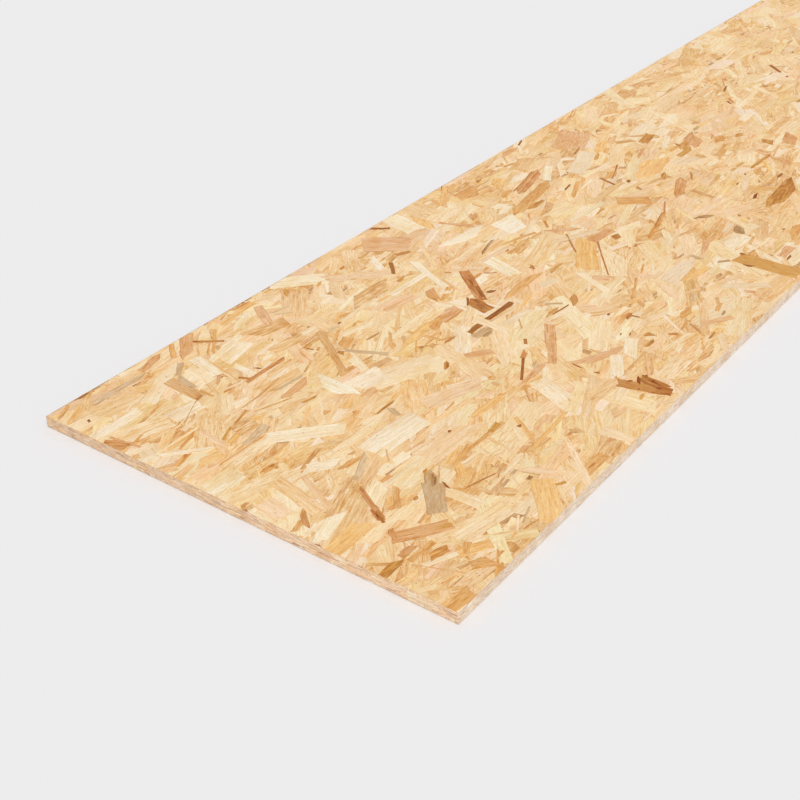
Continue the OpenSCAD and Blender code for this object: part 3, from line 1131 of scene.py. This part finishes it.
# The body below the face strands, which shows only in the gaps between them
bodySet = {
    "inset": 0.6,  # mm behind the sawn edges
    "sunk": 1.15,  # mm below the faces
    "colour": (186, 138, 92),
    "paleColour": (222, 178, 128),
    "streaks": (300.0, 40.0, 500.0),  # a metre
    "roughness": 0.85,
    "specular": 0.2,
    "bump": 0.4,
    "bumpDepth": 0.0003,  # metres
}


def bodyWood(s):
    material, tree = newMaterial("pressedCore")
    whole = addNode(tree, "ShaderNodeTexCoord").outputs["Object"]
    streaks = addNoise(tree, stretch(tree, whole, s["streaks"]), 1.0, 3.0, 0.6)
    colour = mixColours(tree, spreadRange(tree, streaks, 0.35, 0.65),
                        linearColour(s["colour"]), linearColour(s["paleColour"]))
    finishWood(tree, colour, streaks, s)
    return material


def makeBody(s):
    x, y = halfWidth - s["inset"], halfLength - s["inset"]
    low, high = s["sunk"], thickness - s["sunk"]
    corners = [(-x, -y), (x, -y), (x, y), (-x, y)]
    points = [(a * mm, b * mm, level * mm) for level in (low, high) for a, b in corners]
    faces = [(3, 2, 1, 0), (4, 5, 6, 7)] + [(i, (i + 1) % 4, 4 + (i + 1) % 4, 4 + i) for i in range(4)]
    mesh = bpy.data.meshes.new("pressed_body")
    mesh.from_pydata(points, [], faces)
    body = addPiece("pressed_body", mesh, bodyWood(s))
    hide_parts("osb_panel")


makeBody(bodySet)
print("body made")


# Sawn edges: the cut strands lie in thin rows, each a little off its place and over or under the next.
# A section is one cut strand
edgeSet = {
    "seed": 37,
    "rows": 11,
    "margin": 0.4,  # mm between the outer rows and the faces
    "wave": 0.5,  # how far a row rises and falls, of its height
    "waveLength": (28, 160),  # mm
    "shift": 0.4,  # how far a section may lie off its row, of the row's height
    "thick": (0.9, 1.6),  # height of a section, of the row's
    "taper": (0.5, 3.0),  # mm in which its ends run out,
    "taperShare": 0.3,  # and no more than this share of its length
    "overlap": 0.8,  # of a taper, with the next section
    "sideRows": 2,  # rows below each face whose strands run with the panel
    "longCut": (5, 19),  # length of a section where the strand runs along the edge
    "crossCut": (2.5, 9),  # and where it runs into the panel,
    "crossGrain": 3.0,  # which shows the grain so much finer, as dots and dashes
    "setBack": 0.03,  # mm that a side stops short of the next one
    "sunk": 0.12,  # mm that a section may lie behind the others
    # What shows between the sections is darkened, as painted shade for the gaps
    "backing": 0.18,  # mm from the edge to what shows between the sections
    "paintedGapShade": 0.8,  # and its brightness, of the usual
    "cloud": 0.035,  # how much the colour drifts along the edge,
    "cloudLength": (20, 130),  # over so many mm,
    "cloudTone": (0.6, 1.0, 1.4),  # and how much of it is red, green and blue
    "vary": 0.04,  # how much the brightness of the sections differs
    # painted light: the ends' colours lighten towards one side, as a lamp on that side would light them
    "paintedLightTowardsRight": 0.09,  # how much the ends lighten towards one side
    "paler": (1.00, 1.13, 1.30),  # what the long edges' colours are multiplied by
    "calm": (0.75, 0.5),  # of the colours' differences that is left on the ends and the long edges
    "rimWidth": 0.12,  # mm
    "rimDrop": 0.05,  # mm
    # painted shade at the sections' own rims, for the gaps between them
    "rimShade": 0.15,
    "wallDrop": 0.5,  # mm
}
sawnTints = [
    ("tan", (240, 207, 172), 0.34),
    ("pale", (250, 224, 192), 0.22),
    ("pink", (240, 203, 174), 0.20),
    ("brown", (222, 184, 148), 0.13),
    ("grey", (214, 190, 160), 0.08),
    ("dark", (180, 140, 108), 0.03),
]
sawnShares = np.array([share for _, _, share in sawnTints])
sawnColours = np.array([toLinear(colour) for _, colour, _ in sawnTints])
sawnWood = strandWood("sawnWood", {
    **woodSet,
    "bandTone": (0.97, 0.92, 0.85),
    "streakDark": (0.95, 0.90, 0.84),
    "streakPale": (1.03, 1.06, 1.10),
    "stainTone": (0.92, 0.83, 0.72),
    "lineTone": (0.84, 0.74, 0.64),
    "rimTone": (0.80, 0.68, 0.56),
    "contrast": 0.07,
    "fineness": 2.5,
})


def sawnLook(rng, tint, half, s):
    return {
        "tint": [*tint.clip(0, 0.97), 0.0],
        "seed": rng.uniform(0, 900),
        "rimWidth": s["rimWidth"],
        "rimDrop": s["rimDrop"],
        "wallDrop": s["wallDrop"],
        "tornDrop": 0.0,
        # Painted shade: a section's own rim darkens a little at random, for the gap beside it
        "shade": lambda along, across, onRim: rng.random(len(along)) * s["rimShade"] * onRim,
        "bands": rng.uniform(0.1, 0.8),
        "flecks": 0.0,
        "limits": (half, thickness),
    }


# A plate that stands a fixed depth behind the sawn edge
def addSection(heap, outline, depth, place, look):
    addPlate(heap, outline, lambda px, py: np.full(len(px), -depth), place, look, 0.0)


def makeSide(rng, heap, span, place, isLong, s):
    bottom, top = s["margin"], thickness - s["margin"]
    height = (top - bottom) / s["rows"]
    half = span / 2 - s["setBack"]
    usual = (sawnColours * sawnShares[:, None]).sum(0)
    paler = np.array(s["paler"]) if isLong else np.ones(3)
    calm = s["calm"][1 if isLong else 0]
    circle = 2 * math.pi
    lengths = rng.uniform(*s["waveLength"], (s["rows"], 3))
    phases = rng.uniform(0, circle, (s["rows"], 3))
    cloudLengths = rng.uniform(*s["cloudLength"], 5)
    cloudPhases = rng.uniform(0, circle, 5)

    x, y = np.array([-half, half, half, -half]), np.array([bottom, bottom, top, top])
    behind = np.stack([x, y, x, y, np.full(4, float(sawn))], 1)
    # Painted shade: the backing that shows between the sections is darker than the sections
    look = sawnLook(rng, usual * s["paintedGapShade"] * paler, half, s)
    addSection(heap, behind, s["backing"], place, look)

    for row in range(s["rows"]):
        outer = min(row, s["rows"] - 1 - row) < s["sideRows"]
        alongEdge = outer == isLong
        size = s["longCut"] if alongEdge else s["crossCut"]
        squeeze = 1.0 if alongEdge else s["crossGrain"]
        start = -half - rng.uniform(0, size[1])
        while start < half:
            length = rng.uniform(*size)
            stop = start + length
            middle = (start + stop) / 2
            taper = min(rng.uniform(*s["taper"]), length * s["taperShare"])
            wave = np.sin(circle * middle / lengths[row] + phases[row]).mean() * s["wave"] * height
            level = bottom + (row + 0.5) * height + wave + rng.normal(0, s["shift"] / 2) * height
            reach = rng.uniform(*s["thick"]) * height / 2
            near, far = start + taper, stop - taper
            places = np.array([start, near, middle, far, stop, far, middle, near])
            sides = np.array([0.2, -1, -1, -1, 0, 1, 1, 1]) + rng.normal(0, 0.12, 8)
            x, y = places, level + sides * reach + rng.normal(0, 0.015) * (places - middle)
            y = y.clip(bottom, top)
            if row == 0:
                y[sides < -0.5] = bottom
            if row == s["rows"] - 1:
                y[sides > 0.5] = top
            outline = np.stack([x, y, x * squeeze, y, np.zeros(len(x))], 1)
            outline = cutOutline(outline, (1, 0), half, sawn)
            if len(outline) >= 3:
                outline = cutOutline(outline, (-1, 0), half, sawn)
            start = stop - s["overlap"] * taper
            if len(outline) < 3:
                continue
            tint = sawnColours[rng.choice(len(sawnTints), p=sawnShares)]
            tint = (usual + (tint - usual) * calm) * paler
            # Painted light: an end's colour lightens towards one side, standing in for a lamp on that
            # side
            if not isLong:
                tint = tint * (1 + s["paintedLightTowardsRight"] * middle / half)
            cloud = np.sin(circle * middle / cloudLengths + cloudPhases).sum() * s["cloud"]
            tint = tint * np.exp(rng.normal(0, s["vary"]) + cloud * np.array(s["cloudTone"]))
            depth = s["sunk"] * rng.random()
            addSection(heap, outline, depth, place, sawnLook(rng, tint, half, s))


def atNearEnd(x, y, out):
    return np.stack([x, -halfLength - out, y], 1)


def atFarEnd(x, y, out):
    return np.stack([-x, halfLength + out, y], 1)


def atRightEdge(x, y, out):
    return np.stack([halfWidth + out, x, y], 1)


def atLeftEdge(x, y, out):
    return np.stack([-halfWidth - out, -x, y], 1)


edges = [
    ("sawn_near_end", 2 * halfWidth, atNearEnd, False),
    ("sawn_far_end", 2 * halfWidth, atFarEnd, False),
    ("sawn_right_edge", 2 * halfLength, atRightEdge, True),
    ("sawn_left_edge", 2 * halfLength, atLeftEdge, True),
]


def makeEdges(s):
    rng = np.random.default_rng(s["seed"])
    for name, span, place, isLong in edges:
        heap = newHeap()
        makeSide(rng, heap, span, place, isLong, s)
        makePiece(name, heap, sawnWood)


makeEdges(edgeSet)
print("edges sawn")
